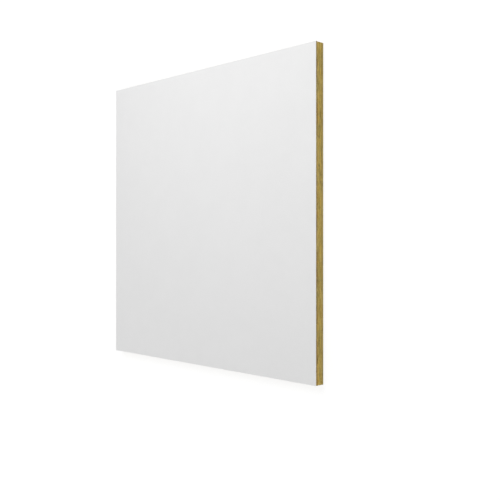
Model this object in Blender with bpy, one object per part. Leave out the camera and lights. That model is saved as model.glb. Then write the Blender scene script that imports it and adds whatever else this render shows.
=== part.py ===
"""Square-edged suspended ceiling tile, made to lie in the exposed grid of a 600 mm ceiling module.

The tile is a laminate of three glued pieces, listed here from the room side to the void side:
    painted_face_fleece   the white glass fleece that shows in the room
    stone_wool_core       the sound-absorbing board of laid mineral fibre, sawn square on all four edges
    back_fleece           the thin unpainted glass fleece that holds the wool's fibres on the void side

Metres, +Z up. The tile lies on its back with the visible face up: +X and +Y run along its sides, +Z points
out of the visible face, and the origin is under the middle of the back.
"""

import math

import bmesh
import bpy

# Plan size, from the ceiling grid
GRID_MODULE = 0.600  # centre to centre of the tees
LAY_IN_CLEARANCE = 0.005  # the tile is this much smaller than the module, to drop past the tees' webs

# Build-up through the thickness
TILE_THICKNESS = 0.020
FACE_FLEECE_THICKNESS = 0.0006
BACK_FLEECE_THICKNESS = 0.0004
GLUE_LINE = 0.0003  # between a fleece and the wool

# Paint rounds the cut edge of the face fleece
FACE_ARRIS_RADIUS = 0.00025
FACE_ARRIS_SEGMENTS = 3

# The wool is laid in layers that lie flat in the board. The saw leaves each one as a low rib that runs
# round the tile, with a shallow seam between neighbours, where the fibres are softer.
LAYER_THICKNESS = 0.0037
SEAM_DEPTH = 0.00045
SEAM_DEPTH_SWING = 0.00020  # how much deeper or shallower a seam gets on its way round
SEAM_WANDER = 0.00055  # how far a seam strays up and down
WANDER_LENGTH = 0.150  # round the tile, from one high point of a seam to the next
SWING_LENGTH = 0.085  # round the tile, from one deep stretch of a seam to the next
ROWS_PER_LAYER = 4  # facets across one rib
FACET_LENGTH = 0.016  # facets along a rib

# Finishes: linear red, green and blue, and roughness
PAINT_WHITE = (0.87, 0.87, 0.87)
PAINT_ROUGHNESS = 0.85
WOOL_MUSTARD = (0.37, 0.275, 0.081)
WOOL_ROUGHNESS = 0.95
GLASS_CREAM = (0.62, 0.58, 0.45)
GLASS_ROUGHNESS = 0.9

# Turns each seam's waves against its neighbour's, so that no two seams stray together
SEAM_PHASE = math.pi * (3.0 - math.sqrt(5.0))

TILE_SIDE = GRID_MODULE - LAY_IN_CLEARANCE
TILE_PERIMETER = 4.0 * TILE_SIDE
CORE_BASE = BACK_FLEECE_THICKNESS + GLUE_LINE
FACE_FLEECE_BASE = TILE_THICKNESS - FACE_FLEECE_THICKNESS
CORE_THICKNESS = FACE_FLEECE_BASE - GLUE_LINE - CORE_BASE
LAYER_COUNT = max(2, round(CORE_THICKNESS / LAYER_THICKNESS))


def clear_scene():
    """Remove every object of the startup scene."""
    for obj in list(bpy.data.objects):
        bpy.data.objects.remove(obj)


def finish(name, colour, roughness):
    """A material without metal, of one colour and roughness."""
    material = bpy.data.materials.new(name)
    material.use_nodes = True
    shader = material.node_tree.nodes["Principled BSDF"]
    shader.inputs["Base Color"].default_value = (*colour, 1.0)
    shader.inputs["Roughness"].default_value = roughness
    shader.inputs["Metallic"].default_value = 0.0
    return material


def white_paint():
    """Matt paint that soaks into the face fleece."""
    return finish("white matt paint on glass fleece", PAINT_WHITE, PAINT_ROUGHNESS)


def stone_wool():
    """Mineral fibre, coloured by the resin that bonds it."""
    return finish("bonded stone wool", WOOL_MUSTARD, WOOL_ROUGHNESS)


def bare_glass_fleece():
    """Glass fibre with the cream tinge of its binder."""
    return finish("natural glass fleece", GLASS_CREAM, GLASS_ROUGHNESS)


def part_from(bm, name, base, material, tile):
    """Turn a bmesh into a named piece of the tile, with its underside at the height base."""
    bmesh.ops.recalc_face_normals(bm, faces=bm.faces)
    mesh = bpy.data.meshes.new(name)
    bm.to_mesh(mesh)
    bm.free()
    mesh.materials.append(material)
    piece = bpy.data.objects.new(name, mesh)
    piece.parent = tile
    piece.location.z = base
    bpy.context.scene.collection.objects.link(piece)
    return piece


def square_plate(thickness):
    """A bmesh of a plate of the tile's plan size, its underside at height 0."""
    bm = bmesh.new()
    bmesh.ops.create_grid(bm, x_segments=1, y_segments=1, size=TILE_SIDE / 2.0)
    raised = bmesh.ops.extrude_face_region(bm, geom=bm.faces[:])["geom"]
    lid = [item for item in raised if isinstance(item, bmesh.types.BMVert)]
    bmesh.ops.translate(bm, vec=(0.0, 0.0, thickness), verts=lid)
    return bm


def back_fleece(tile):
    """The unpainted fleece on the void side."""
    plate = square_plate(BACK_FLEECE_THICKNESS)
    return part_from(plate, "back_fleece", 0.0, bare_glass_fleece(), tile)


def painted_face_fleece(tile):
    """The visible fleece, whose outer arris is rounded by the paint."""
    bm = square_plate(FACE_FLEECE_THICKNESS)
    middle = FACE_FLEECE_THICKNESS / 2.0
    outer_arris = [edge for edge in bm.edges if all(vert.co.z > middle for vert in edge.verts)]
    bmesh.ops.bevel(
        bm,
        geom=outer_arris,
        offset=FACE_ARRIS_RADIUS,
        segments=FACE_ARRIS_SEGMENTS,
        profile=0.5,
        affect="EDGES",
    )
    return part_from(bm, "painted_face_fleece", FACE_FLEECE_BASE, white_paint(), tile)


def swing(seam, way_round, wave_length, lead=0.0):
    """A wave from -1 to 1 along a seam that meets itself after one turn round the tile."""
    waves = max(1, round(TILE_PERIMETER / wave_length))
    return math.sin(waves * math.tau * way_round + seam * SEAM_PHASE + lead)


def is_rim(seam):
    """True for the board's two faces, which the fleeces keep flat and flush."""
    return seam in (0, LAYER_COUNT)


def seam_height(seam, way_round):
    """Height of a seam above the board's underside. way_round goes from 0 to 1 once round the tile."""
    level = CORE_THICKNESS * seam / LAYER_COUNT
    return level if is_rim(seam) else level + SEAM_WANDER * swing(seam, way_round, WANDER_LENGTH)


def seam_depth(seam, way_round):
    """How far a seam lies behind the sawn plane."""
    if is_rim(seam):
        return 0.0
    return SEAM_DEPTH + SEAM_DEPTH_SWING * swing(seam, way_round, SWING_LENGTH, math.pi / 2.0)


def rib_point(row, way_round):
    """(height, depth) of a row of the sawn edge: each layer bulges out between its two seams."""
    layer, step = divmod(row, ROWS_PER_LAYER)
    if layer == LAYER_COUNT:
        return CORE_THICKNESS, 0.0
    share = step / ROWS_PER_LAYER
    low, high = seam_height(layer, way_round), seam_height(layer + 1, way_round)
    nearest = layer if share < 0.5 else layer + 1
    sunk = 1.0 - math.sin(math.pi * share)
    return low + (high - low) * share, seam_depth(nearest, way_round) * sunk


def share_of_way_round(x, y):
    """Where a point of the square outline lies on the way round it, from 0 to 1. The way starts at -X -Y."""
    half = TILE_SIDE / 2.0
    if y <= -abs(x):
        walked = x + half
    elif x >= abs(y):
        walked = TILE_SIDE + y + half
    elif y >= abs(x):
        walked = 2.0 * TILE_SIDE + half - x
    else:
        walked = 3.0 * TILE_SIDE + half - y
    return walked / TILE_PERIMETER


def set_in(vert, row):
    """Move a point of the outline to its place on a row of the sawn edge, and keep the corners square."""
    height, depth = rib_point(row, share_of_way_round(vert.co.x, vert.co.y))
    reach = TILE_SIDE / 2.0 - depth
    vert.co.x = max(-reach, min(reach, vert.co.x))
    vert.co.y = max(-reach, min(reach, vert.co.y))
    vert.co.z = height


def stone_wool_core(tile):
    """The board: its square outline is drawn up row by row, and each row is set in to its rib or seam."""
    bm = bmesh.new()
    bmesh.ops.create_grid(bm, x_segments=1, y_segments=1, size=TILE_SIDE / 2.0)
    bmesh.ops.delete(bm, geom=bm.faces[:], context="FACES_ONLY")
    facets_per_side = max(1, round(TILE_SIDE / FACET_LENGTH))
    bmesh.ops.subdivide_edges(bm, edges=bm.edges[:], cuts=facets_per_side - 1)
    outline = bm.edges[:]
    row_of = {vert: 0 for vert in bm.verts}
    for row in range(1, ROWS_PER_LAYER * LAYER_COUNT + 1):
        drawn = bmesh.ops.extrude_edge_only(bm, edges=outline)["geom"]
        outline = [item for item in drawn if isinstance(item, bmesh.types.BMEdge)]
        row_of.update({item: row for item in drawn if isinstance(item, bmesh.types.BMVert)})
    for vert, row in row_of.items():
        set_in(vert, row)
    rims = [edge for edge in bm.edges if edge.is_boundary]
    bmesh.ops.holes_fill(bm, edges=rims, sides=0)
    return part_from(bm, "stone_wool_core", CORE_BASE, stone_wool(), tile)


def main():
    """Build the tile."""
    clear_scene()
    tile = bpy.data.objects.new("ceiling_tile", None)
    bpy.context.scene.collection.objects.link(tile)
    back_fleece(tile)
    stone_wool_core(tile)
    painted_face_fleece(tile)


main()
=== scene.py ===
"""Looks of the square-edged suspended ceiling tile.

The tile is a board of stone wool between two bonded fleeces: a white painted one on the visible face and a
bare one on the back. Its four edges are left as the saw cut them. It lies on its back and the camera looks
down on it, turned so that +Y is up in the picture. Metres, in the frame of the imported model.
"""

import logging
import math
import random
from collections.abc import Callable, Mapping, Sequence
from dataclasses import dataclass
from enum import Enum
from itertools import pairwise

import bmesh
import bpy
from mathutils import Matrix, Vector, noise


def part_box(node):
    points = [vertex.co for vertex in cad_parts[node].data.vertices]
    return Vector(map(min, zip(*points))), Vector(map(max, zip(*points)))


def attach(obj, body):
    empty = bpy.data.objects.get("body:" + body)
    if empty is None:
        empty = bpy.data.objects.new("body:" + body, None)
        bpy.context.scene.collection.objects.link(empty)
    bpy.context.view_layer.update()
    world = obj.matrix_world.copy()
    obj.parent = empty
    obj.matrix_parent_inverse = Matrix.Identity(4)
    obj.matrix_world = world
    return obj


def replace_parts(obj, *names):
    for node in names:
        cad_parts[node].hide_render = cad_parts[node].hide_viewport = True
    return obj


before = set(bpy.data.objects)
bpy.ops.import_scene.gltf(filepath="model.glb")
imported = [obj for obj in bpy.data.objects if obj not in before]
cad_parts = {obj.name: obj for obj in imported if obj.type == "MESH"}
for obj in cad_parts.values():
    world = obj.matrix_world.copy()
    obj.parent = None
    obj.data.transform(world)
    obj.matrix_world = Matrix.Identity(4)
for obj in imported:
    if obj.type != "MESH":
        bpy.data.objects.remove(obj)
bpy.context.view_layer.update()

LOG = logging.getLogger("ceiling_tile")

MM = 0.001
BODY = "root"

# Inputs and output of a Mix node that mixes colours, by number, because several of them share a name
MIX_SHARE, MIX_FIRST, MIX_SECOND, MIX_RESULT = 0, 6, 7, 2

# The value round which a noise texture strays
NOISE_MIDDLE = 0.5

# Turns each seam's waves against its neighbour's, so that no two seams of the wool stray together
SEAM_TURN = math.pi * (3.0 - math.sqrt(5.0))

# A face with more corners than this is an end of a shell, which is flat
QUAD_CORNERS = 4

Colour = tuple[float, float, float, float]


class Side(Enum):
    """The four sawn edges, each as the direction that it faces."""

    FRONT = (0.0, -1.0)
    RIGHT = (1.0, 0.0)
    REAR = (0.0, 1.0)
    LEFT = (-1.0, 0.0)

    def outward(self) -> Vector:
        """Unit vector out of this edge."""
        return Vector((*self.value, 0.0))

    def along(self) -> Vector:
        """Unit vector along this edge."""
        return Vector((-self.value[1], self.value[0], 0.0))


def linear(hex_colour: str) -> Colour:
    """Turn an sRGB hex colour into the linear RGBA that the shaders take.

    Args:
        hex_colour: colour such as "#9D884C".

    Returns:
        Linear red, green and blue, and an alpha of 1.
    """
    shares = [int(hex_colour[start:start + 2], 16) / 255.0 for start in (1, 3, 5)]
    # The numbers of the sRGB standard's own curve
    red, green, blue = (
        share / 12.92 if share <= 0.04045 else ((share + 0.055) / 1.055) ** 2.4 for share in shares
    )
    return red, green, blue, 1.0


def add_node(
    tree: bpy.types.NodeTree,
    kind: str,
    settings: Mapping[str | int, object] | None = None,
    links: Mapping[str | int, bpy.types.NodeSocket] | None = None,
) -> bpy.types.Node:
    """Add a node with its settings and links.

    Args:
        tree: node tree that takes the node.
        kind: Blender's name of the node type.
        settings: values by the name of a property, or by the name or number of an input.
        links: sockets that feed the node, by the name or number of the input.

    Returns:
        The new node.
    """
    node = tree.nodes.new(kind)
    for key, value in (settings or {}).items():
        if isinstance(key, str) and hasattr(node, key):
            setattr(node, key, value)
        else:
            node.inputs[key].default_value = value
    for key, socket in (links or {}).items():
        tree.links.new(socket, node.inputs[key])
    return node


@dataclass(frozen=True)
class Grain:
    """A cloudy solid pattern whose features have a real size, as a value from 0 to 1.

    length runs along X before the pattern is turned about Z, width along Y and height along Z. tilt slopes
    flat features up along both X and Y. low and high are the values of the noise that become 0 and 1. detail
    is how many times finer noise is laid over the first, roughness is how much that counts, and swirl is how
    far the noise bends itself.
    """

    length: float
    width: float
    height: float
    low: float = 0.35
    high: float = 0.65
    detail: float = 2.0
    roughness: float = 0.55
    turn: float = 0.0
    tilt: float = 0.0
    swirl: float = 0.0

    def noise(self, tree: bpy.types.NodeTree, place: bpy.types.NodeSocket) -> bpy.types.Node:
        """Add the noise.

        Args:
            tree: node tree that takes the nodes.
            place: object coordinates.

        Returns:
            The noise node, whose values are mostly between 0.3 and 0.7.
        """
        stretched = add_node(
            tree,
            "ShaderNodeMapping",
            {
                "vector_type": "TEXTURE",
                "Rotation": (self.tilt, -self.tilt, self.turn),
                "Scale": (self.length, self.width, self.height),
            },
            {"Vector": place},
        )
        return add_node(
            tree,
            "ShaderNodeTexNoise",
            {
                "Scale": 1.0,
                "Detail": self.detail,
                "Roughness": self.roughness,
                "Distortion": self.swirl,
            },
            {"Vector": stretched.outputs["Vector"]},
        )

    def cloud(self, tree: bpy.types.NodeTree, place: bpy.types.NodeSocket) -> bpy.types.NodeSocket:
        """The noise as one value."""
        return self.noise(tree, place).outputs["Fac"]

    def vectors(self, tree: bpy.types.NodeTree, place: bpy.types.NodeSocket) -> bpy.types.NodeSocket:
        """The noise as three values that don't follow each other."""
        return self.noise(tree, place).outputs["Color"]

    def share(self, tree: bpy.types.NodeTree, place: bpy.types.NodeSocket) -> bpy.types.NodeSocket:
        """Add the pattern.

        Args:
            tree: node tree that takes the nodes.
            place: object coordinates.

        Returns:
            The pattern, 0 below low and 1 above high.
        """
        ranged = add_node(
            tree,
            "ShaderNodeMapRange",
            {"From Min": self.low, "From Max": self.high},
            {"Value": self.cloud(tree, place)},
        )
        return ranged.outputs["Result"]


def lay_of_fibres(
    tree: bpy.types.NodeTree, place: bpy.types.NodeSocket, lots: Sequence[Grain], edge: float
) -> bpy.types.NodeSocket:
    """Lay lots of fibres over each other, each lot as thin lines where its noise crosses its middle value.

    Args:
        tree: node tree that takes the nodes.
        place: object coordinates.
        lots: the stretched noise of each lot.
        edge: how far from the middle value a line ends.

    Returns:
        1 on a fibre and 0 between fibres.
    """
    lay = None
    for lot in lots:
        off_middle = add_node(
            tree,
            "ShaderNodeMath",
            {"operation": "SUBTRACT", 1: NOISE_MIDDLE},
            {0: lot.cloud(tree, place)},
        )
        distance = add_node(
            tree, "ShaderNodeMath", {"operation": "ABSOLUTE"}, {0: off_middle.outputs["Value"]}
        )
        line = add_node(
            tree,
            "ShaderNodeMapRange",
            {"From Max": edge, "To Min": 1.0, "To Max": 0.0},
            {"Value": distance.outputs["Value"]},
        )
        if lay is None:
            lay = line.outputs["Result"]
            continue
        both = add_node(
            tree, "ShaderNodeMath", {"operation": "MAXIMUM"}, {0: lay, 1: line.outputs["Result"]}
        )
        lay = both.outputs["Value"]
    return lay


def fibrous_relief(
    tree: bpy.types.NodeTree,
    fibres: bpy.types.NodeSocket,
    fuzz: bpy.types.NodeSocket,
    rise: float,
    depth: float,
) -> bpy.types.NodeSocket:
    """Add the relief of fibres that lie on a fuzzy ground.

    Args:
        tree: node tree that takes the nodes.
        fibres: 1 on a fibre and 0 between fibres.
        fuzz: height of the ground, from 0 to 1.
        rise: how far a fibre stands out of the ground.
        depth: how deep the ground's fuzz is.

    Returns:
        The surface's normal.
    """
    height = add_node(
        tree, "ShaderNodeMath", {"operation": "MULTIPLY_ADD", 1: rise / depth}, {0: fibres, 2: fuzz}
    )
    bump = add_node(tree, "ShaderNodeBump", {"Distance": depth}, {"Height": height.outputs["Value"]})
    return bump.outputs["Normal"]


@dataclass(frozen=True)
class Streaks:
    """A second colour that shows through in streaks or spots. most is its share where it is strongest."""

    tone: str
    most: float
    grain: Grain

    def over(
        self, tree: bpy.types.NodeTree, place: bpy.types.NodeSocket, colour: bpy.types.NodeSocket
    ) -> bpy.types.NodeSocket:
        """Lay the streaks over a colour.

        Args:
            tree: node tree that takes the nodes.
            place: object coordinates.
            colour: the colour below.

        Returns:
            The colour with the streaks.
        """
        cover = add_node(
            tree,
            "ShaderNodeMath",
            {"operation": "MULTIPLY", 1: self.most},
            {0: self.grain.share(tree, place)},
        )
        mixed = add_node(
            tree,
            "ShaderNodeMix",
            {"data_type": "RGBA", MIX_SECOND: linear(self.tone)},
            {MIX_SHARE: cover.outputs["Value"], MIX_FIRST: colour},
        )
        return mixed.outputs[MIX_RESULT]


@dataclass(frozen=True)
class StoneWoolFinish:
    """Stone wool: mineral fibre blown into a mat, bonded with resin, cured and sawn.

    The resin gives the mustard brown. The fibres lie flat in the board, so its cut edge is streaked along its
    length in straw, brown and olive, with dark specks where the melt didn't draw out into fibre.
    """

    name: str
    roughness: float
    # Height above the foot of the layers, and the colour of the layer there
    layers: tuple[tuple[float, str], ...]
    layers_foot: float = 0.7 * MM
    layers_height: float = 18.4 * MM
    layer_wander: Grain = Grain(130.0 * MM, 130.0 * MM, 130.0 * MM)
    layer_wander_height: float = 0.6 * MM
    pale_streaks: Streaks = Streaks(
        tone="#C2B06B",
        most=0.72,
        grain=Grain(34.0 * MM, 34.0 * MM, 3.2 * MM, low=0.48, high=0.66),
    )
    dark_streaks: Streaks = Streaks(
        tone="#685427",
        most=0.66,
        grain=Grain(30.0 * MM, 30.0 * MM, 3.0 * MM, low=0.50, high=0.68),
    )
    olive_patches: Streaks = Streaks(
        tone="#837C45",
        most=0.45,
        grain=Grain(40.0 * MM, 40.0 * MM, 5.0 * MM, low=0.50, high=0.66),
    )
    specks: Streaks = Streaks(
        tone="#4A4126",
        most=0.85,
        grain=Grain(2.6 * MM, 2.6 * MM, 1.3 * MM, low=0.67, high=0.73),
    )
    # Real fibres are a few thousandths of a millimetre thick. These are bundles, as coarse as shows
    fibre_length: float = 7.0 * MM
    fibre_height: float = 0.8 * MM
    fibre_tilts: tuple[float, ...] = (-0.16, -0.05, 0.07, 0.19)
    fibre_swirl: float = 0.5
    fibre_edge: float = 0.055
    fibre_rise: float = 0.05 * MM
    fibre_tone: str = "#C6B77B"
    fibre_cover: float = 0.42
    # Painted shade: the share of the colour that is left between the fibres
    painted_shade_between: float = 0.87
    fuzz: Grain = Grain(1.3 * MM, 1.3 * MM, 0.45 * MM, detail=1.0)
    fuzz_depth: float = 0.22 * MM
    # The strands wave up and down as they lie matted
    wave_grain: Grain = Grain(11.0 * MM, 11.0 * MM, 4.0 * MM, detail=1.0)
    wave_reach: tuple[float, float, float] = (5.0 * MM, 5.0 * MM, 3.0 * MM)
    specular: float = 0.2

    def matted(self, tree: bpy.types.NodeTree, place: bpy.types.NodeSocket) -> bpy.types.NodeSocket:
        """Add coordinates that wave, so that what follows them isn't straight.

        Args:
            tree: node tree that takes the nodes.
            place: object coordinates.

        Returns:
            The waving coordinates.
        """
        stray = add_node(
            tree,
            "ShaderNodeVectorMath",
            {"operation": "SUBTRACT", 1: (NOISE_MIDDLE,) * 3},
            {0: self.wave_grain.vectors(tree, place)},
        )
        moved = add_node(
            tree,
            "ShaderNodeVectorMath",
            {"operation": "MULTIPLY_ADD", 1: self.wave_reach},
            {0: stray.outputs["Vector"], 2: place},
        )
        return moved.outputs["Vector"]

    def layer_colour(self, tree: bpy.types.NodeTree, place: bpy.types.NodeSocket) -> bpy.types.NodeSocket:
        """Add the colour of the layers, which run all along the edge and wander a little up and down.

        Args:
            tree: node tree that takes the nodes.
            place: object coordinates.

        Returns:
            The colour of the layer at each height.
        """
        height = add_node(tree, "ShaderNodeSeparateXYZ", None, {"Vector": place}).outputs["Z"]
        wander = add_node(
            tree,
            "ShaderNodeMapRange",
            {"To Min": -self.layer_wander_height, "To Max": self.layer_wander_height},
            {"Value": self.layer_wander.share(tree, place)},
        )
        wandered = add_node(
            tree, "ShaderNodeMath", {"operation": "ADD"}, {0: height, 1: wander.outputs["Result"]}
        )
        share = add_node(
            tree,
            "ShaderNodeMapRange",
            {"From Min": self.layers_foot, "From Max": self.layers_foot + self.layers_height},
            {"Value": wandered.outputs["Value"]},
        )
        ramp = add_node(tree, "ShaderNodeValToRGB", None, {"Fac": share.outputs["Result"]})
        # A ramp comes with two stops and keeps at least one, so the last of them goes once the layers are in
        stops = ramp.color_ramp.elements
        stops.remove(stops[0])
        for level, tone in self.layers:
            stops.new(level / self.layers_height).color = linear(tone)
        stops.remove(stops[len(stops) - 1])
        return ramp.outputs["Color"]

    def lay_over(
        self, tree: bpy.types.NodeTree, fibres: bpy.types.NodeSocket, colour: bpy.types.NodeSocket
    ) -> bpy.types.NodeSocket:
        """Lay the fibres over a colour, which is darkened between them as painted shade.

        Args:
            tree: node tree that takes the nodes.
            fibres: 1 on a fibre and 0 between fibres.
            colour: the colour below.

        Returns:
            The colour with the fibres.
        """
        # Painted shade: the colour is darker between the fibres
        shade = add_node(
            tree,
            "ShaderNodeMapRange",
            {"To Min": self.painted_shade_between, "To Max": 1.0},
            {"Value": fibres},
        )
        shaded = add_node(
            tree,
            "ShaderNodeVectorMath",
            {"operation": "SCALE"},
            {0: colour, "Scale": shade.outputs["Result"]},
        )
        cover = add_node(
            tree, "ShaderNodeMath", {"operation": "MULTIPLY", 1: self.fibre_cover}, {0: fibres}
        )
        fibrous = add_node(
            tree,
            "ShaderNodeMix",
            {"data_type": "RGBA", MIX_SECOND: linear(self.fibre_tone)},
            {MIX_SHARE: cover.outputs["Value"], MIX_FIRST: shaded.outputs["Vector"]},
        )
        return fibrous.outputs[MIX_RESULT]

    def material(self) -> bpy.types.Material:
        """Make the material.

        Returns:
            The material.
        """
        material = bpy.data.materials.new(self.name)
        material.use_nodes = True
        tree = material.node_tree
        place = add_node(tree, "ShaderNodeTexCoord").outputs["Object"]
        matted = self.matted(tree, place)
        colour = self.layer_colour(tree, matted)
        for streaks in (self.pale_streaks, self.dark_streaks, self.olive_patches, self.specks):
            colour = streaks.over(tree, matted, colour)
        lots = [
            Grain(
                self.fibre_length,
                self.fibre_length,
                self.fibre_height,
                detail=0.0,
                tilt=tilt,
                swirl=self.fibre_swirl,
            )
            for tilt in self.fibre_tilts
        ]
        fibres = lay_of_fibres(tree, matted, lots, self.fibre_edge)
        colour = self.lay_over(tree, fibres, colour)
        fuzz = self.fuzz.cloud(tree, place)
        normal = fibrous_relief(tree, fibres, fuzz, self.fibre_rise, self.fuzz_depth)
        shader = tree.nodes["Principled BSDF"]
        shader.inputs["Roughness"].default_value = self.roughness
        shader.inputs["Specular IOR Level"].default_value = self.specular
        tree.links.new(colour, shader.inputs["Base Color"])
        tree.links.new(normal, shader.inputs["Normal"])
        return material


@dataclass(frozen=True)
class FleeceFinish:
    """Glass fleece: fine glass fibres laid at random and bound, either bare or covered with matt paint.

    Bare, it shows its fibres over the wool's colour. Painted, it is an even dull white, and the fibres are
    left as a faint relief.
    """

    name: str
    ground: str
    fibre: str
    roughness: float
    relief: float
    # Real fibres are about a hundredth of a millimetre thick. These are as coarse as shows
    fibre_rise: float = 0.03 * MM
    fibre_length: float = 16.0 * MM
    fibre_width: float = 1.1 * MM
    fibre_edge: float = 0.018
    directions: int = 5
    stipple: Grain = Grain(1.2 * MM, 1.2 * MM, 1.2 * MM, detail=3.0)
    clouds: Grain = Grain(45.0 * MM, 45.0 * MM, 45.0 * MM)
    cloud_contrast: float = 0.01
    specular: float = 0.25

    def material(self) -> bpy.types.Material:
        """Make the material.

        Returns:
            The material.
        """
        material = bpy.data.materials.new(self.name)
        material.use_nodes = True
        tree = material.node_tree
        place = add_node(tree, "ShaderNodeTexCoord").outputs["Object"]
        lots = [
            Grain(
                self.fibre_length,
                self.fibre_width,
                self.fibre_length,
                detail=0.0,
                turn=math.pi * direction / self.directions,
            )
            for direction in range(self.directions)
        ]
        fibres = lay_of_fibres(tree, place, lots, self.fibre_edge)
        colour = add_node(
            tree,
            "ShaderNodeMix",
            {"data_type": "RGBA", MIX_FIRST: linear(self.ground), MIX_SECOND: linear(self.fibre)},
            {MIX_SHARE: fibres},
        )
        clouds = add_node(
            tree,
            "ShaderNodeMapRange",
            {"To Min": 1.0 - self.cloud_contrast, "To Max": 1.0},
            {"Value": self.clouds.share(tree, place)},
        )
        clouded = add_node(
            tree,
            "ShaderNodeVectorMath",
            {"operation": "SCALE"},
            {0: colour.outputs[MIX_RESULT], "Scale": clouds.outputs["Result"]},
        )
        stipple = self.stipple.cloud(tree, place)
        normal = fibrous_relief(tree, fibres, stipple, self.fibre_rise, self.relief)
        shader = tree.nodes["Principled BSDF"]
        shader.inputs["Roughness"].default_value = self.roughness
        shader.inputs["Specular IOR Level"].default_value = self.specular
        tree.links.new(clouded.outputs["Vector"], shader.inputs["Base Color"])
        tree.links.new(normal, shader.inputs["Normal"])
        return material


# The sawn mat looks dull, dark and uneven, and its colour is darkened further between its fibres as painted
# shade
SAWN_WOOL = StoneWoolFinish(
    name="bonded stone wool, sawn",
    roughness=0.95,
    layers=(
        (2.8 * MM, "#B3974D"),
        (6.9 * MM, "#D6B44A"),
        (9.6 * MM, "#AE9545"),
        (12.3 * MM, "#DFB755"),
        (15.8 * MM, "#906B29"),
    ),
)
# Bundles that lie free of the mat are paler than it: partly the paler look of single fibre, partly painted
# highlight for the light they catch. They are also a little smoother
LOOSE_WOOL_PALE_AND_PAINTED_HIGHLIGHT = StoneWoolFinish(
    name="stone wool fibre, loose",
    roughness=0.7,
    layers=((0.0 * MM, "#C2B27E"), (9.0 * MM, "#C9BC8A"), (18.0 * MM, "#BEAA73")),
)
# Paint fills the fleece, so the face is an even white with no gloss
PAINTED_FLEECE = FleeceFinish(
    name="glass fleece, matt white paint",
    ground="#F0F0F0",
    fibre="#F1F1F1",
    roughness=0.9,
    relief=0.32 * MM,
)
# Bare glass is smoother than paint, and the wool's colour shows through between its paler fibres
BARE_FLEECE = FleeceFinish(
    name="glass fleece, bare",
    ground="#C4BC9F",
    fibre="#DDD9C9",
    roughness=0.7,
    relief=0.2 * MM,
    fibre_length=24.0 * MM,
    fibre_edge=0.03,
    directions=7,
    cloud_contrast=0.08,
)


def sort_by_points(bm: bmesh.types.BMesh) -> None:
    """Sort the edges and faces of a shape by the two points of each that were made first.

    Extruding leaves its points in the same order each run, but not its edges and faces.

    Args:
        bm: the shape.
    """
    bm.verts.index_update()
    count = len(bm.verts)

    def first_points(part: bmesh.types.BMEdge | bmesh.types.BMFace) -> int:
        """A number that grows with the part's first point, and then with its second."""
        first, second = sorted(vert.index for vert in part.verts)[:2]
        return first * count + second

    for parts in (bm.edges, bm.faces):
        parts.sort(key=first_points)
        parts.index_update()


def square_shell(half: float, columns: int, heights: Sequence[float]) -> bmesh.types.BMesh:
    """Draw a closed square shell up through a list of heights, with its sides finely divided.

    Args:
        half: half of the side.
        columns: quads along one side.
        heights: height of each ring of points, from the lowest up.

    Returns:
        The shell, as many quads high as there are heights, less one, with one face at each end.
    """
    bm = bmesh.new()
    lowest = Matrix.Translation((0.0, 0.0, heights[0]))
    bmesh.ops.create_grid(bm, x_segments=1, y_segments=1, size=half, matrix=lowest)
    bmesh.ops.delete(bm, geom=bm.faces[:], context="FACES_ONLY")
    bmesh.ops.subdivide_edges(bm, edges=bm.edges[:], cuts=columns - 1)
    ring = bm.edges[:]
    for lower, upper in pairwise(heights):
        drawn = bmesh.ops.extrude_edge_only(bm, edges=ring)["geom"]
        ring = [item for item in drawn if isinstance(item, bmesh.types.BMEdge)]
        points = [item for item in drawn if isinstance(item, bmesh.types.BMVert)]
        bmesh.ops.translate(bm, vec=(0.0, 0.0, upper - lower), verts=points)
    sort_by_points(bm)
    rims = [edge for edge in bm.edges if edge.is_boundary]
    bmesh.ops.holes_fill(bm, edges=rims, sides=0)
    bmesh.ops.recalc_face_normals(bm, faces=bm.faces)
    return bm


def set_in(
    bm: bmesh.types.BMesh, half: float, reach: float, relief: Callable[[Vector], float]
) -> None:
    """Press the sides of a square shell inwards.

    Args:
        bm: the shell.
        half: half of its side.
        reach: a point moves with each side that it lies nearer to than this.
        relief: how far in the side goes at a place.
    """
    for vert in bm.verts:
        depth = relief(vert.co)
        for axis in (0, 1):
            if half - abs(vert.co[axis]) < reach:
                vert.co[axis] -= math.copysign(depth, vert.co[axis])


def add_piece(
    bm: bmesh.types.BMesh, name: str, material: bpy.types.Material
) -> bpy.types.Object:
    """Turn a bmesh into a piece of the tile that rides on its body.

    Args:
        bm: the piece's shape, which is freed.
        name: name of the piece.
        material: its finish.

    Returns:
        The piece.
    """
    for face in bm.faces:
        face.smooth = len(face.verts) <= QUAD_CORNERS
    mesh = bpy.data.meshes.new(name)
    bm.to_mesh(mesh)
    bm.free()
    mesh.materials.append(material)
    piece = bpy.data.objects.new(name, mesh)
    bpy.context.scene.collection.objects.link(piece)
    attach(piece, BODY)
    return piece


@dataclass(frozen=True)
class Waves:
    """Smooth noise from about -1 to 1 whose features are this long in the tile's plane and this high."""

    length: float
    height: float
    seed: float

    def at(self, place: Vector) -> float:
        """The noise at a place."""
        x, y, z = place.x / self.length, place.y / self.length, place.z / self.height
        return noise.noise(Vector((x, y, z + self.seed)))


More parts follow.
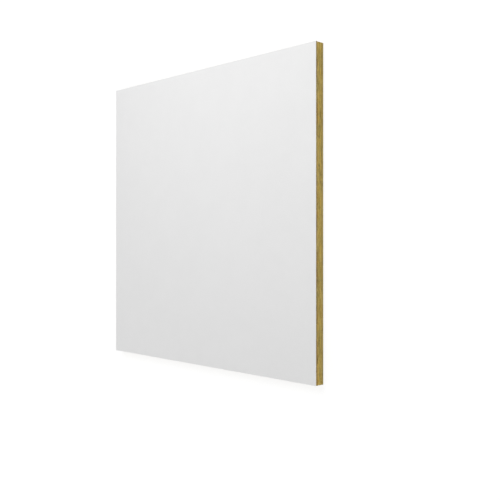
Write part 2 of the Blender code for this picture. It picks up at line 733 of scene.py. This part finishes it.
@dataclass
class SawnWoolBoard:
    """The stone wool board, which fills the space between the fleeces.

    Its layers stand out as low ribs with seams between them. Each rib is broken up by thinner laminae and by
    fibre bundles, and here and there the saw has torn out a tuft.
    """

    half: float
    bottom: float
    top: float
    finish: StoneWoolFinish = SAWN_WOOL
    column: float = 1.1 * MM
    row: float = 0.5 * MM
    layer_thickness: float = 3.7 * MM
    fewest_layers: int = 2
    # How far the tops of the ribs lie behind the cut edge of the fleeces
    skin: float = 0.22 * MM
    seam_depth: float = 0.45 * MM
    seam_depth_swing: float = 0.20 * MM
    seam_wander: float = 0.55 * MM
    wander_length: float = 150.0 * MM
    swing_length: float = 85.0 * MM
    laminae: Waves = Waves(length=9.0 * MM, height=1.1 * MM, seed=10.0)
    lamina_depth: float = 0.30 * MM
    bundles: Waves = Waves(length=3.0 * MM, height=0.8 * MM, seed=50.0)
    bundle_depth: float = 0.22 * MM
    tears: Waves = Waves(length=5.0 * MM, height=2.2 * MM, seed=90.0)
    tear_depth: float = 1.6 * MM
    tear_limit: float = 0.38
    # The fleeces hold the wool together, so its roughness fades out over this height next to them
    held_height: float = 1.0 * MM

    def layers(self) -> int:
        """Number of layers in the board's thickness."""
        return max(self.fewest_layers, round((self.top - self.bottom) / self.layer_thickness))

    def perimeter(self) -> float:
        """Length of the way round the board."""
        return 8.0 * self.half

    def way_round(self, place: Vector) -> float:
        """Find where a place lies on the way round the board, which starts at its corner to -X and -Y.

        Args:
            place: a place on the board's outline.

        Returns:
            The share of the way, from 0 to 1.
        """
        x, y = place.x, place.y
        side = 2.0 * self.half
        if y <= -abs(x):
            walked = self.half + x
        elif x >= abs(y):
            walked = side + self.half + y
        elif y >= abs(x):
            walked = 2.0 * side + self.half - x
        else:
            walked = 3.0 * side + self.half - y
        return walked / self.perimeter()

    def swing(self, seam: int, way: float, length: float, lead: float = 0.0) -> float:
        """A wave from -1 to 1 along a seam, which meets itself after one turn round the board."""
        waves = max(1, round(self.perimeter() / length))
        return math.sin(waves * math.tau * way + seam * SEAM_TURN + lead)

    def seam_height(self, seam: int, way: float) -> float:
        """Find the height of a seam. The first and last are the board's faces, which don't wander.

        Args:
            seam: number of the seam, from the board's bottom up.
            way: share of the way round the board.

        Returns:
            The seam's height.
        """
        level = self.bottom + (self.top - self.bottom) * seam / self.layers()
        if seam in (0, self.layers()):
            return level
        return level + self.seam_wander * self.swing(seam, way, self.wander_length)

    def seam_cut(self, seam: int, way: float) -> float:
        """Find how deep a seam is. The first and last are the board's faces, which have no seam.

        Args:
            seam: number of the seam, from the board's bottom up.
            way: share of the way round the board.

        Returns:
            How far the seam lies behind the tops of the ribs.
        """
        if seam in (0, self.layers()):
            return 0.0
        swing = self.swing(seam, way, self.swing_length, math.pi / 2.0)
        return self.seam_depth + self.seam_depth_swing * swing

    def rib(self, place: Vector) -> float:
        """Find how far the ribbed side lies behind the tops of the ribs.

        Args:
            place: a place on the board's side.

        Returns:
            The depth, which is greatest in a seam.
        """
        way = self.way_round(place)
        layer = 0
        while layer < self.layers() - 1 and place.z > self.seam_height(layer + 1, way):
            layer += 1
        low, high = self.seam_height(layer, way), self.seam_height(layer + 1, way)
        share = min(1.0, max(0.0, (place.z - low) / (high - low)))
        nearest = layer if share < 0.5 else layer + 1
        return self.seam_cut(nearest, way) * (1.0 - math.sin(math.pi * share))

    def tear(self, place: Vector) -> float:
        """How deep a torn-out tuft is at a place, which is 0 nearly everywhere."""
        over = -self.tears.at(place) - self.tear_limit
        return max(0.0, min(1.0, over / (1.0 - self.tear_limit))) * self.tear_depth

    def relief(self, place: Vector) -> float:
        """Find how far the sawn side lies behind the cut edge of the fleeces.

        Args:
            place: a place on the board's side.

        Returns:
            The depth, which is never less than 0.
        """
        lamina = self.lamina_depth * self.laminae.at(place)
        bundle = self.bundle_depth * self.bundles.at(place)
        rim_share = min(1.0, min(place.z - self.bottom, self.top - place.z) / self.held_height)
        rough = lamina + bundle + self.tear(place)
        return max(0.0, self.skin + self.rib(place) + max(0.0, rim_share) * rough)

    def build(self) -> bpy.types.Object:
        """Make the board.

        Returns:
            The board.
        """
        rows = round((self.top - self.bottom) / self.row)
        heights = [self.bottom + (self.top - self.bottom) * row / rows for row in range(rows + 1)]
        bm = square_shell(self.half, round(2.0 * self.half / self.column), heights)
        set_in(bm, self.half, self.column / 2.0, self.relief)
        piece = add_piece(bm, "sawn_stone_wool", self.finish.material())
        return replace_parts(piece, "stone_wool_core")


@dataclass
class LooseFibres:
    """Bundles of fibre that the saw has lifted from the board's edge, with both ends still in the wool."""

    board: SawnWoolBoard
    # Paler tones than the board's, partly painted highlight
    finish: StoneWoolFinish = LOOSE_WOOL_PALE_AND_PAINTED_HIGHLIGHT
    count: int = 4400
    thickness: float = 0.2 * MM
    facets: int = 3
    shortest: float = 4.0 * MM
    longest: float = 13.0 * MM
    # The ends lie this deep in the wool, and the middle is lifted by up to this much
    buried: float = 0.5 * MM
    lift: float = 0.5 * MM
    least_lift_share: float = 0.3
    sway: float = 0.6 * MM
    spread: float = math.radians(9.0)
    margin: float = 0.8 * MM
    bends: int = 4
    seed: int = 8

    def bundle(self) -> bmesh.types.BMesh:
        """Make one straight bundle along X, with rings to bend at.

        Returns:
            The bundle, of length and thickness 1, with its middle at the origin.
        """
        bm = bmesh.new()
        bmesh.ops.create_cone(
            bm,
            cap_ends=True,
            segments=self.facets,
            radius1=0.5,
            radius2=0.5,
            depth=1.0,
            matrix=Matrix.Rotation(math.pi / 2.0, 4, "Y"),
        )
        long_edges = [edge for edge in bm.edges if edge.verts[0].co.x * edge.verts[1].co.x < 0.0]
        bmesh.ops.subdivide_edges(bm, edges=long_edges, cuts=self.bends, use_grid_fill=True)
        return bm

    def lay(self, draw: random.Random, strand: bmesh.types.BMesh) -> None:
        """Bend a straight bundle and lay it on one of the board's sides.

        Args:
            draw: source of the chance places.
            strand: the straight bundle, which is changed.
        """
        board = self.board
        side = draw.choice(list(Side))
        length = draw.uniform(self.shortest, self.longest)
        run = board.half - length
        height = draw.uniform(board.bottom + self.margin, board.top - self.margin)
        room = min(height - board.bottom, board.top - height) - self.margin / 2.0
        steepest = math.asin(min(1.0, 2.0 * room / length))
        tilt = max(-steepest, min(steepest, draw.gauss(0.0, self.spread)))
        sway = draw.uniform(-self.sway, self.sway)
        walked = side.along() * draw.uniform(-run, run)
        foot = side.outward() * board.half + walked + Vector((0.0, 0.0, height))
        depth = board.relief(foot)
        lifted = min(depth, self.lift) * draw.uniform(self.least_lift_share, 1.0)
        rise = lifted - self.thickness / 2.0
        # x is -0.5 at one end of the bundle and 0.5 at the other, where the arch is down in the wool
        for vert in strand.verts:
            x, y, z = vert.co
            arch = (rise + self.buried) * (1.0 - 4.0 * x * x) - self.buried
            swayed = y * self.thickness + sway * math.sin(math.tau * x) * (0.5 - abs(x))
            vert.co = (x * length, swayed, z * self.thickness + arch)
        run_way = side.along() * math.cos(tilt) + Vector((0.0, 0.0, math.sin(tilt)))
        across = side.outward().cross(run_way)
        turn = Matrix((run_way, across, side.outward())).transposed().to_4x4()
        place = Matrix.Translation(foot - side.outward() * depth) @ turn
        bmesh.ops.transform(strand, matrix=place, verts=strand.verts)

    def build(self) -> bpy.types.Object:
        """Make the bundles.

        Returns:
            All the bundles as one piece.
        """
        draw = random.Random(self.seed)
        straight = self.bundle()
        scrap = bpy.data.meshes.new("one_bundle")
        bm = bmesh.new()
        for _ in range(self.count):
            strand = straight.copy()
            self.lay(draw, strand)
            strand.to_mesh(scrap)
            strand.free()
            bm.from_mesh(scrap)
        straight.free()
        bpy.data.meshes.remove(scrap)
        bmesh.ops.recalc_face_normals(bm, faces=bm.faces)
        return add_piece(bm, "loose_wool_fibres", self.finish.material())


@dataclass
class Fleece:
    """A fleece bonded flat to the board, cut with it, so that its rim is a little ragged."""

    name: str
    node: str
    slot: str
    finish: FleeceFinish
    arris_radius: float = 0.0
    arris_segments: int = 3
    column: float = 1.1 * MM
    rags: Waves = Waves(length=2.5 * MM, height=2.5 * MM, seed=30.0)
    raggedness: float = 0.12 * MM
    # A point that lies nearer to a side than this follows its ragged rim
    rim_width: float = 1.0 * MM

    def rim(self, place: Vector) -> float:
        """How far the rim lies inside the true square at a place."""
        return self.raggedness * (0.5 + 0.5 * self.rags.at(place))

    def build(self) -> bpy.types.Object:
        """Make the fleece.

        Returns:
            The fleece.
        """
        low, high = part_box(self.node)
        bm = square_shell(high.x, round(2.0 * high.x / self.column), (low.z, high.z))
        if self.arris_radius:
            outer = [edge for edge in bm.edges if all(vert.co.z == high.z for vert in edge.verts)]
            bmesh.ops.bevel(
                bm,
                geom=outer,
                offset=self.arris_radius,
                segments=self.arris_segments,
                profile=0.5,
                affect="EDGES",
                material=-1,
            )
        set_in(bm, high.x, self.rim_width, self.rim)
        piece = add_piece(bm, self.name, self.finish.material())
        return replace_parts(piece, self.node)


@dataclass(frozen=True)
class SoftLamp:
    """A soft round lamp, size across and of this power in watts, aimed at the tile's middle."""

    name: str
    place: tuple[float, float, float]
    size: float
    power: float

    def build(self) -> bpy.types.Object:
        """Make the lamp.

        Returns:
            The lamp.
        """
        data = bpy.data.lights.new(self.name, "AREA")
        data.shape = "DISK"
        data.size = self.size
        data.energy = self.power
        lamp = bpy.data.objects.new(self.name, data)
        lamp.location = self.place
        lamp.rotation_euler = (-Vector(self.place)).to_track_quat("-Z", "Y").to_euler()
        bpy.context.scene.collection.objects.link(lamp)
        return lamp


@dataclass
class Studio:
    """A pale floor, even light from all round, a large soft lamp above the tile and two low ones beside it.

    The floor is open under the tile, with a lamp below, so that the tile's back shows from below.
    """

    tile_half: float
    opening_margin: float = 3.0 * MM
    floor_half: float = 6.0
    floor_gap: float = 0.3 * MM
    floor_colour: str = "#E8E8E8"
    # The lamps light the floor less further out, where it glows more, so that it looks white all over
    near_glow: float = 0.85
    far_glow: float = 1.0
    near_reach: float = 0.5
    far_reach: float = 1.5
    floor_shadow_share: float = 0.21
    fill: float = 0.30
    fill_colour: str = "#FFFFFF"
    lamps: tuple[SoftLamp, ...] = (
        SoftLamp("main_lamp", place=(0.10, 0.77, 1.27), size=1.0, power=12.75),
        SoftLamp("low_right_lamp", place=(1.9, -0.3, 0.5), size=0.6, power=10.0),
        SoftLamp("low_left_lamp", place=(-1.5, -1.5, 0.5), size=0.6, power=18.8),
        SoftLamp("under_lamp", place=(0.3, 0.3, -1.3), size=1.0, power=8.7),
    )

    def seen_directly(self, tree: bpy.types.NodeTree) -> bpy.types.NodeSocket:
        """Add nodes that tell where the camera sees the surface, also in a mirror or through glass.

        Args:
            tree: node tree that takes the nodes.

        Returns:
            1 where the camera sees the surface, and 0 where it only lights others.
        """
        path = add_node(tree, "ShaderNodeLightPath")
        seen = path.outputs["Is Camera Ray"]
        for other in ("Is Glossy Ray", "Is Transmission Ray"):
            either = add_node(
                tree, "ShaderNodeMath", {"operation": "MAXIMUM"}, {0: seen, 1: path.outputs[other]}
            )
            seen = either.outputs["Value"]
        return seen

    def paper(self) -> bpy.types.Material:
        """Make the floor's finish, which looks white and keeps a faint shadow.

        Returns:
            The material.
        """
        material = bpy.data.materials.new("white paper floor")
        material.use_nodes = True
        tree = material.node_tree
        tree.nodes.clear()
        bounce = add_node(tree, "ShaderNodeBsdfDiffuse", {"Color": linear(self.floor_colour)})
        place = add_node(tree, "ShaderNodeTexCoord").outputs["Object"]
        distance = add_node(tree, "ShaderNodeVectorMath", {"operation": "LENGTH"}, {0: place})
        strength = add_node(
            tree,
            "ShaderNodeMapRange",
            {
                "From Min": self.near_reach,
                "From Max": self.far_reach,
                "To Min": self.near_glow,
                "To Max": self.far_glow,
            },
            {"Value": distance.outputs["Value"]},
        )
        glow = add_node(tree, "ShaderNodeEmission", None, {"Strength": strength.outputs["Result"]})
        grey = (self.floor_shadow_share,) * 3 + (1.0,)
        shaded = add_node(tree, "ShaderNodeBsdfDiffuse", {"Color": grey})
        white = add_node(
            tree, "ShaderNodeAddShader", None, {0: glow.outputs[0], 1: shaded.outputs[0]}
        )
        either = add_node(
            tree,
            "ShaderNodeMixShader",
            None,
            {0: self.seen_directly(tree), 1: bounce.outputs[0], 2: white.outputs[0]},
        )
        add_node(tree, "ShaderNodeOutputMaterial", None, {"Surface": either.outputs[0]})
        return material

    def floor(self) -> bpy.types.Object:
        """Make the floor.

        Returns:
            The floor.
        """
        bm = bmesh.new()
        under = Matrix.Translation((0.0, 0.0, -self.floor_gap))
        bmesh.ops.create_grid(bm, x_segments=1, y_segments=1, size=self.floor_half, matrix=under)
        opening = bm.faces[:]
        opening_half = self.tile_half - self.opening_margin
        bmesh.ops.inset_region(
            bm,
            faces=opening,
            thickness=self.floor_half - opening_half,
            use_boundary=True,
            use_even_offset=True,
        )
        bmesh.ops.delete(bm, geom=opening, context="FACES_ONLY")
        mesh = bpy.data.meshes.new("studio_floor")
        bm.to_mesh(mesh)
        bm.free()
        mesh.materials.append(self.paper())
        floor = bpy.data.objects.new("studio_floor", mesh)
        bpy.context.scene.collection.objects.link(floor)
        return floor

    def surround(self) -> bpy.types.World:
        """Make the even light from all round, which the camera sees as white.

        Returns:
            The world.
        """
        world = bpy.data.worlds.new("studio surround")
        world.use_nodes = True
        tree = world.node_tree
        tree.nodes.clear()
        strength = add_node(
            tree,
            "ShaderNodeMapRange",
            {"To Min": self.fill, "To Max": 1.0},
            {"Value": self.seen_directly(tree)},
        )
        light = add_node(
            tree,
            "ShaderNodeBackground",
            {"Color": linear(self.fill_colour)},
            {"Strength": strength.outputs["Result"]},
        )
        add_node(tree, "ShaderNodeOutputWorld", None, {"Surface": light.outputs["Background"]})
        bpy.context.scene.world = world
        return world

    def build(self) -> None:
        """Make the floor and the lights."""
        self.floor()
        self.surround()
        for lamp in self.lamps:
            lamp.build()


@dataclass
class PhotoCamera:
    """The photograph's camera, turned 45 degrees from the tile's face and a little below its middle."""

    place: tuple[float, float, float] = (1.1108, -0.0487, 0.9937)
    turn: float = math.radians(45.0)
    # Millimetres, as Blender takes them
    lens: float = 52.87
    sensor_width: float = 36.0
    # How far the picture is shifted up, as a share of its width
    rise: float = -0.0166

    def build(self) -> bpy.types.Object:
        """Make the camera and look through it.

        Returns:
            The camera.
        """
        data = bpy.data.cameras.new("photo_camera")
        data.sensor_width = self.sensor_width
        data.lens = self.lens
        data.shift_y = self.rise
        camera = bpy.data.objects.new("photo_camera", data)
        camera.location = self.place
        camera.rotation_euler = (0.0, self.turn, 0.0)
        bpy.context.scene.collection.objects.link(camera)
        bpy.context.scene.camera = camera
        return camera


def main() -> None:
    """Build the tile's pieces, the studio and the camera."""
    logging.basicConfig(level=logging.INFO, format="%(name)s: %(message)s")
    bpy.context.scene.view_settings.view_transform = "Standard"
    PhotoCamera().build()
    Studio(tile_half=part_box("back_fleece")[1].x).build()
    face = Fleece(
        name="white_face_fleece",
        node="painted_face_fleece",
        slot="painted_fleece",
        finish=PAINTED_FLEECE,
        arris_radius=0.25 * MM,
    )
    back = Fleece(
        name="bare_back_fleece",
        node="back_fleece",
        slot="natural_fleece",
        finish=BARE_FLEECE,
    )
    board = SawnWoolBoard(
        half=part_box("stone_wool_core")[1].x,
        bottom=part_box(back.node)[1].z,
        top=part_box(face.node)[0].z,
    )
    for maker in (board, LooseFibres(board), face, back):
        piece = maker.build()
        LOG.info("%s: %d faces", piece.name, len(piece.data.polygons))


if __name__ == "__main__":
    main()
